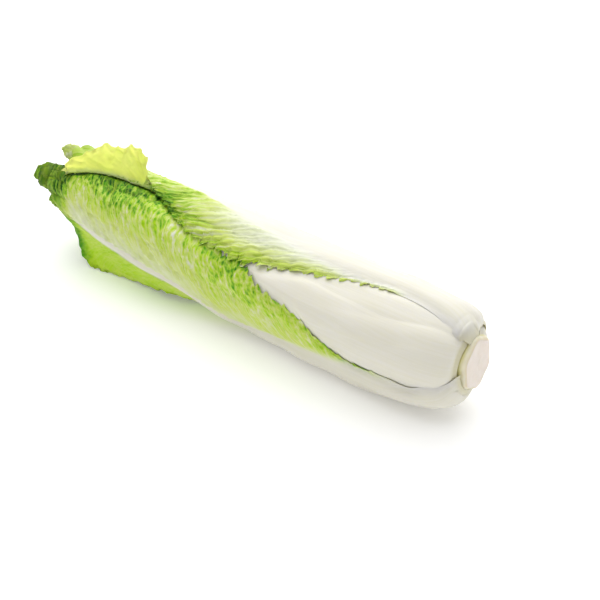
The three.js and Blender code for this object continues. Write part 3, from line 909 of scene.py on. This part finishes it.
def crinkle_tree():
    """Crinkles a blade: it swells between its side veins and its smallest veins, and rolls as a whole."""
    tree = bpy.data.node_groups.new("Leaf crinkle", "GeometryNodeTree")
    maker = Maker(tree)

    def socket(name, kind, in_out="INPUT"):
        tree.interface.new_socket(name, in_out=in_out, socket_type="NodeSocket" + kind)

    socket("Geometry", "Geometry")
    for name in (*CRINKLE_SIZES, "Pleat Height"):
        socket(name, "Float")
    socket("Seed", "Int")
    socket("Material", "Material")
    socket("Geometry", "Geometry", "OUTPUT")
    given = maker.node("NodeGroupInput").outputs

    def read(name, kind="FLOAT"):
        node = maker.node("GeometryNodeInputNamedAttribute", {"data_type": kind}, {"Name": name})
        return node.outputs["Attribute"]

    def given_number(name):
        return Number(maker, given[name])

    def in_units_of(name):
        return maker.vector("SCALE", place, 1 / given_number(name))

    place = read("place", "FLOAT_VECTOR")
    blade, loose, margin = (Number(maker, read(name)) for name in ("blade", "loose", "margin"))
    _, path, _ = maker.parts(place)
    shift = maker.node("ShaderNodeCombineXYZ", inputs={2: given_number("Seed") * SEED_STEP}).outputs[0]
    dome = maker.rise(maker.cell_edges(in_units_of("Cell Size"), 1), 0.0, 0.42)
    roll = maker.noise(maker.vector("ADD", in_units_of("Roll Size"), shift), 1)
    share = maker.off_vein(path, given_number("Vein Spacing"))
    ridge = 1 - maker.rise(share, 0.0, 0.16)
    pleat = maker.rise(share, 0.08, 0.5)
    height = ridge * given_number("Vein Height") + pleat * given_number("Pleat Height") * margin
    height = height + dome * given_number("Cell Depth") + roll * given_number("Roll Depth") * 2
    offset = maker.vector("SCALE", read("outward", "FLOAT_VECTOR"), height * blade * loose)
    moved = maker.node("GeometryNodeSetPosition", inputs={"Geometry": given["Geometry"], "Offset": offset})
    real = maker.node("GeometryNodeRealizeInstances", inputs={"Geometry": moved.outputs[0]})
    inputs = {"Geometry": real.outputs[0], "Material": given["Material"]}
    painted = maker.node("GeometryNodeSetMaterial", inputs=inputs)
    maker.node("NodeGroupOutput", inputs={"Geometry": painted.outputs[0]})
    return tree


def apply_tree(piece, tree, values):
    """Runs a node tree on a piece and keeps the plain mesh that it makes."""
    modifier = piece.modifiers.new(tree.name, "NODES")
    modifier.node_group = tree
    for item in tree.interface.items_tree:
        if item.in_out == "INPUT" and item.name in values:
            modifier[item.identifier] = values[item.name]
    depsgraph = bpy.context.evaluated_depsgraph_get()
    mesh = bpy.data.meshes.new_from_object(piece.evaluated_get(depsgraph))
    piece.modifiers.clear()
    piece.data = mesh


# ---- Finishes ----
def new_material(name):
    """An empty material with its maker."""
    material = bpy.data.materials.new(name)
    material.use_nodes = True
    material.node_tree.nodes.clear()
    return material, Maker(material.node_tree)


def srgb(*channels):
    """A colour given from 0 to 255, as the linear values that nodes take."""
    shares = [channel / 255 for channel in channels]
    return Color([c / 12.92 if c <= 0.04045 else ((c + 0.055) / 1.055) ** 2.4 for c in shares])


def leaf_material(look):
    """White fibrous rib, green blade with pale side veins and a fine network between them."""
    material, maker = new_material("cabbage_leaf")
    place = maker.node("ShaderNodeAttribute", {"attribute_name": "place"}).outputs["Vector"]
    _, path, _ = maker.parts(place)
    names = ("blade", "green", "margin", "slant", "crisp", "free", "turned", "foot")
    blade, green, margin, slant, crisp, free, turned, foot = map(maker.attribute, names)

    def off_vein(shift, spacing):
        return maker.off_vein(path + shift, spacing) * spacing / slant

    width = look.vein_width * (1.2 - 0.6 * margin) * (0.75 + maker.noise(place, 0.02))
    main_vein = 1 - maker.rise(off_vein(0, look.vein_spacing) / width, 0.3, 1.0)
    halfway = off_vein(look.vein_spacing * 0.5, look.vein_spacing)
    fork = (1 - maker.rise(halfway / width, 0.15, 0.7)) * maker.rise(margin, 0.2, 0.5)
    drift = (maker.noise(place, 0.012) - 0.5) * 0.006
    between = off_vein(drift, look.vein_spacing * 0.29)
    minor = (1 - maker.rise(between / width, 0.1, 0.9)) * (0.25 + 0.35 * maker.rise(green, 0.1, 0.35))
    vein = maker.math("MAXIMUM", maker.math("MAXIMUM", main_vein, fork * 0.6), minor)
    vein = vein * crisp * (1 - 0.75 * maker.rise(margin, 0.5, 0.85))
    edge = maker.cell_edges(place, look.cell_size)
    network = (1 - maker.rise(edge, 0.02, 0.2)) * crisp * maker.rise(green, 0.25, 0.6)

    patches = maker.noise(place, 0.016) - 0.5
    fine = maker.noise(place, 0.0016, 2.0) - 0.5
    pits = (maker.rise(edge, 0.02, 0.35) - 0.5) * 0.16 * crisp * maker.rise(green, 0.3, 0.6)
    clumps = (maker.noise(place, 0.03) - 0.5) * maker.rise(green, 0.2, 0.5) * (0.3 + crisp * 0.7)
    crumbs = (maker.noise(place, 0.0046) - 0.5) * maker.rise(green, 0.15, 0.5) * crisp
    depth = green + patches * 0.3 + clumps * 0.9 + crumbs * 1.7 + fine * 0.1 + pits
    stops = [
        (0.0, look.pale_blade),
        (0.26, look.light_blade),
        (0.5, look.bright_blade),
        (0.75, look.green_blade),
        (1.0, look.dark_blade),
    ]
    flesh = maker.ramp(stops, depth)
    paler = maker.ramp(stops, depth * 0.38)
    # Folded-back faces take the inner-face colour: partly their own paler yellow, partly painted light that
    # stands in for light through the fold.
    flesh = maker.blend(turned * (0.8 + patches * 0.8), flesh, look.inner_face_and_painted_light)
    flesh = maker.blend(network * 0.22, flesh, paler)
    flesh = maker.blend(vein * (0.55 + patches * 0.7 + margin * 0.2), flesh, paler)

    fibres = maker.noise(maker.vector("MULTIPLY", place, (1.0, 0.03, 1.0)), 0.0012, 2.0)
    clouds = maker.noise(place, 0.03)
    rib = maker.blend(fibres * 0.5 + clouds * 0.3, look.rib_light, look.rib_shade)
    colour = maker.blend(maker.rise(blade, 0.0, 1.0), rib, flesh)
    # Leaf feet are tinted olive: partly their own colour where they join the core, partly painted shade in
    # the crease between leaf and core.
    colour = maker.blend(foot * 0.5, colour, look.foot_tint_and_painted_crease_shade)

    relief = (vein + network) * blade * 0.6 + crumbs * 1.5 + fibres * (1 - blade) * 0.35 + fine * 0.15
    normal = maker.bump(0.55, 0.0005, relief)
    skin = maker.principled(
        {
            "Base Color": colour,
            "Roughness": 0.38 + blade * 0.16 + patches * 0.1,
            "Normal": normal,
            "Subsurface Weight": 0.35,
            "Subsurface Radius": (1.0, 0.95, 0.6),
            "Subsurface Scale": 0.004,
            "Specular IOR Level": 0.2,
        }
    )
    through = maker.vector("MULTIPLY", colour, (1.0, 1.0, 0.65))
    glow = maker.node("ShaderNodeBsdfTranslucent", inputs={"Color": through, "Normal": normal})
    mixed = maker.node("ShaderNodeMixShader", inputs={0: free * look.glow, 1: skin, 2: glow.outputs[0]})
    maker.surface(mixed.outputs[0])
    return material


def core_material(look):
    """Pale moist cut stem, with a firmer rim and a yellower side where it runs in under the leaves, which is
    partly painted shade in the crease there.
    """
    material, maker = new_material("cabbage_core")
    place = maker.node("ShaderNodeTexCoord").outputs["Object"]
    face, rim, deep = map(maker.attribute, ("face", "rim", "deep"))
    clouds = maker.noise(place, 0.006)
    grain = maker.noise(place, 0.0007)
    side = maker.blend(clouds, look.side_light, look.side_dark)
    # Towards the leaves the side turns olive: partly the core's own yellower colour, partly painted shade in
    # the crease under the leaves.
    side = maker.blend(deep * (0.5 + clouds * 0.5), side, look.side_deep_and_painted_shade)
    flat = maker.blend(clouds, look.face_light, look.face_dark)
    colour = maker.blend(face, side, flat)
    colour = maker.blend(rim * 0.55, colour, look.rim_colour)
    skin = maker.principled(
        {
            "Base Color": colour,
            "Roughness": 0.42 + grain * 0.15,
            "Normal": maker.bump(0.5, 0.0003, grain + clouds * 0.6),
            "Subsurface Weight": 0.3,
            "Subsurface Radius": (1.0, 0.8, 0.5),
            "Subsurface Scale": 0.004,
            "Coat Weight": 0.1,
            "Coat Roughness": 0.3,
        }
    )
    maker.surface(skin)
    return material


def plain_material(name, colour, roughness, glow=0.0):
    """One even finish, which may give a little light of its own."""
    material, maker = new_material(name)
    inputs = {"Base Color": colour, "Roughness": roughness}
    maker.surface(maker.principled({**inputs, "Emission Color": colour, "Emission Strength": glow}))
    return material


# ---- Finished pieces ----
def link_piece(mesh):
    """Puts a mesh in the scene as an object of the same name."""
    piece = bpy.data.objects.new(mesh.name, mesh)
    bpy.context.scene.collection.objects.link(piece)
    return piece


def finish_leaf(context, piece, number, pleat):
    """Crinkles a leaf, with `pleat` in millimetres, and gives it the finish that all leaves share."""
    look = context.scene.cabbage_leaves
    values = {name: getattr(look, name.lower().replace(" ", "_")) for name in CRINKLE_SIZES}
    values["Pleat Height"] = pleat * MM
    values["Seed"] = look.seed + number
    values["Material"] = bpy.data.materials.get("cabbage_leaf") or leaf_material(look)
    apply_tree(piece, bpy.data.node_groups.get("Leaf crinkle") or crinkle_tree(), values)


def hand_over(piece, slot, *replaced):
    """Hangs a finished piece on the root body and hides the solids that it stands for."""
    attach(piece, "root")
    if replaced:
        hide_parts(*replaced)


# ---- Stage ----
def make_floor(look):
    """A wide flat floor."""
    half = look.floor_size / 2
    mesh = bpy.data.meshes.new("floor")
    corners = [(-half, -half, 0), (half, -half, 0), (half, half, 0), (-half, half, 0)]
    mesh.from_pydata(corners, [], [(0, 1, 2, 3)])
    floor = link_piece(mesh)
    floor.data.materials.append(plain_material("studio_floor", look.floor_colour, 0.6, look.floor_glow))


def make_lights(look):
    """Soft light from all round, a broad key from above, and a lower light from behind."""
    world = bpy.data.worlds.new("studio")
    world.use_nodes = True
    world.node_tree.nodes.clear()
    maker = Maker(world.node_tree)
    sky = maker.node("ShaderNodeBackground", inputs={"Color": (1, 1, 1, 1), "Strength": look.sky_strength})
    maker.node("ShaderNodeOutputWorld", inputs={"Surface": sky.outputs[0]})
    bpy.context.scene.world = world
    for name, power, size, place in (
        ("key", look.key_power, 2.2, (-0.12, 0.12, 1.4)),
        ("back", look.back_power, 1.2, (-0.6, 0.9, 0.7)),
    ):
        light = bpy.data.lights.new(name, "AREA")
        light.energy = power
        light.size = size
        lamp = bpy.data.objects.new(name, light)
        lamp.location = place
        lamp.rotation_euler = (-Vector(place)).to_track_quat("-Z", "Y").to_euler()
        bpy.context.scene.collection.objects.link(lamp)


CAMERA_FROM_CUT = Vector((0.2793, -0.4915, 0.3590))  # metres from the cut face's centre
CAMERA_AZIMUTH = 41.8
CAMERA_ELEVATION = 29.1


def make_camera(look):
    """A camera above and in front of the cut end."""
    camera = bpy.data.cameras.new("camera")
    camera.lens = look.lens
    camera.clip_start = 0.01
    holder = bpy.data.objects.new("camera", camera)
    holder.location = CUT_CENTRE + CAMERA_FROM_CUT
    holder.rotation_euler = (math.radians(90 - CAMERA_ELEVATION), 0, math.radians(CAMERA_AZIMUTH))
    bpy.context.scene.collection.objects.link(holder)
    bpy.context.scene.camera = holder
    bpy.context.scene.view_settings.view_transform = "Standard"


# ---- Settings ----
def colour_property(name, description, default):
    default = tuple(srgb(*default))
    return FloatVectorProperty(
        name=name, description=description, subtype="COLOR", size=3, min=0, max=1, default=default
    )


def number_property(name, description, default, **kind):
    return FloatProperty(name=name, description=description, default=default, **kind)


def length_property(name, description, default):
    return number_property(name, description, default, unit="LENGTH", min=0)


class CabbageLeafLook(bpy.types.PropertyGroup):
    """Veins, crinkles and colours of the leaves."""

    vein_spacing: length_property("Vein Spacing", "Distance between side veins along the rib", 0.013)
    vein_width: length_property("Vein Width", "Half the width of a side vein where it leaves the rib", 0.001)
    vein_height: length_property("Vein Height", "How far a side vein stands out", 0.0004)
    cell_size: length_property("Cell Size", "Size of the blisters between the smallest veins", 0.0044)
    cell_depth: length_property("Cell Depth", "Height of those blisters", 0.0006)
    roll_size: length_property("Roll Size", "Size of the larger crinkles", 0.009)
    roll_depth: length_property("Roll Depth", "Height of the larger crinkles", 0.0019)
    seed: IntProperty(name="Seed", description="Seed of the crinkles", default=4)
    glow: number_property(
        "Glow", "Share of light that passes through a free blade", 0.85, subtype="FACTOR", max=1
    )
    rib_light: colour_property("Rib Light", "Lighter colour of a rib", (238, 235, 230))
    rib_shade: colour_property("Rib Shade", "Deeper colour of a rib", (222, 218, 188))
    pale_blade: colour_property("Pale Blade", "Blade beside the rib", (238, 241, 214))
    light_blade: colour_property("Light Blade", "Blade where it begins to turn green", (208, 227, 98))
    bright_blade: colour_property("Bright Blade", "Yellow-green blade", (176, 219, 6))
    green_blade: colour_property("Green Blade", "Full green blade", (84, 166, 6))
    dark_blade: colour_property("Dark Blade", "Darkest green, at the tips", (22, 88, 8))
    # Inner face: the folded-back face's own paler yellow, lifted nearly to white as painted light through the
    # fold.
    inner_face_and_painted_light: colour_property("Inner Face", "Yellower face of a blade that is folded back", (255, 255, 214))
    # Foot tint: partly the leaf's own colour at the core, partly painted shade in the crease where it meets
    # the core.
    foot_tint_and_painted_crease_shade: colour_property("Foot Tint", "Where a leaf joins the core", (208, 200, 146))
    bud_colour: colour_property("Bud", "Bud at the middle of the inner leaves", (241, 239, 196))


class CabbageCoreLook(bpy.types.PropertyGroup):
    """Colours of the cut stem core."""

    face_light: colour_property("Face Light", "Lighter colour of the cut face", (250, 240, 232))
    face_dark: colour_property("Face Dark", "Deeper colour of the cut face", (238, 225, 210))
    side_light: colour_property("Side Light", "Lighter colour of the trimmed side", (248, 245, 228))
    side_dark: colour_property("Side Dark", "Deeper colour of the trimmed side", (230, 220, 186))
    # Side deep: partly the core's yellower side, partly painted shade in the crease where it runs under the
    # leaves.
    side_deep_and_painted_shade: colour_property("Side Deep", "Where the side runs in under the leaves", (206, 200, 118))
    rim_colour: colour_property("Rim", "Rim of the cut face", (230, 214, 176))


class CabbageStageLook(bpy.types.PropertyGroup):
    """Floor, lights and camera."""

    floor_size: length_property("Floor Size", "Width of the floor", 8.0)
    floor_colour: colour_property("Floor", "Colour of the floor", (250, 250, 250))
    floor_glow: number_property("Floor Glow", "Light that the floor gives, as lit paper does", 0.17)
    lens: number_property("Lens", "Focal length in millimetres", 58.8, subtype="DISTANCE_CAMERA")
    sky_strength: number_property("Sky", "Strength of the light from all round", 0.47)
    key_power: number_property("Key", "Power of the main light", 20.5, unit="POWER")
    back_power: number_property("Back", "Power of the low light from behind", 7, unit="POWER")


# ---- Operators ----
class CABBAGE_OT_stem_core(bpy.types.Operator):
    """Make the cut stem core"""

    bl_idname = "cabbage.stem_core"
    bl_label = "Stem Core"

    def execute(self, context):
        look = context.scene.cabbage_core
        piece = link_piece(core_mesh())
        piece.data.materials.append(core_material(look))
        hand_over(piece, "stem_core", "stem_core")
        return {"FINISHED"}


class CABBAGE_OT_inner_leaves(bpy.types.Operator):
    """Make the inner leaves and colour the bud inside them"""

    bl_idname = "cabbage.inner_leaves"
    bl_label = "Inner Leaves"

    def execute(self, context):
        for index in range(INNER_COUNT):
            piece = link_piece(inner_leaf_mesh(index))
            finish_leaf(context, piece, 20 + index, INNER_PLEAT)
            hand_over(piece, "inner_leaf", f"inner_leaf_{index + 1}")
        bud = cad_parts["heart_bud"]
        bud.data.materials.clear()
        bud.data.materials.append(plain_material("cabbage_bud", context.scene.cabbage_leaves.bud_colour, 0.5))
        return {"FINISHED"}


class CABBAGE_OT_outer_leaves(bpy.types.Operator):
    """Make the outer leaves, from the innermost to the outermost"""

    bl_idname = "cabbage.outer_leaves"
    bl_label = "Outer Leaves"

    def execute(self, context):
        for layer, leaf in enumerate(OUTER_LEAVES):
            piece = link_piece(outer_leaf_mesh(leaf, layer))
            finish_leaf(context, piece, layer, leaf.pleat)
            hand_over(piece, "outer_leaf", leaf.name)
        return {"FINISHED"}


class CABBAGE_OT_stage(bpy.types.Operator):
    """Set out the floor, the lights and the camera"""

    bl_idname = "cabbage.stage"
    bl_label = "Stage"

    def execute(self, context):
        look = context.scene.cabbage_stage
        make_floor(look)
        make_lights(look)
        make_camera(look)
        return {"FINISHED"}


# ---- Panel and registration ----
class CABBAGE_PT_panel(bpy.types.Panel):
    """Lists the operators and their settings"""

    bl_label = "Napa Cabbage"
    bl_idname = "CABBAGE_PT_panel"
    bl_space_type = "VIEW_3D"
    bl_region_type = "UI"
    bl_category = "Cabbage"

    def draw(self, context):
        for operator in OPERATORS:
            self.layout.operator(operator.bl_idname)
        for group in SETTINGS:
            settings = getattr(context.scene, group)
            for name in settings.__annotations__:
                self.layout.prop(settings, name)


OPERATORS = (CABBAGE_OT_stem_core, CABBAGE_OT_inner_leaves, CABBAGE_OT_outer_leaves, CABBAGE_OT_stage)
SETTINGS = {
    "cabbage_leaves": CabbageLeafLook,
    "cabbage_core": CabbageCoreLook,
    "cabbage_stage": CabbageStageLook,
}
CLASSES = (*SETTINGS.values(), *OPERATORS, CABBAGE_PT_panel)


def register():
    for kind in CLASSES:
        bpy.utils.register_class(kind)
    for name, group in SETTINGS.items():
        setattr(bpy.types.Scene, name, PointerProperty(type=group))


def unregister():
    for name in SETTINGS:
        delattr(bpy.types.Scene, name)
    for kind in reversed(CLASSES):
        bpy.utils.unregister_class(kind)


def main():
    """Builds the head and its stage."""
    register()
    bpy.ops.cabbage.stem_core()
    bpy.ops.cabbage.inner_leaves()
    bpy.ops.cabbage.outer_leaves()
    bpy.ops.cabbage.stage()


if __name__ == "__main__":
    main()
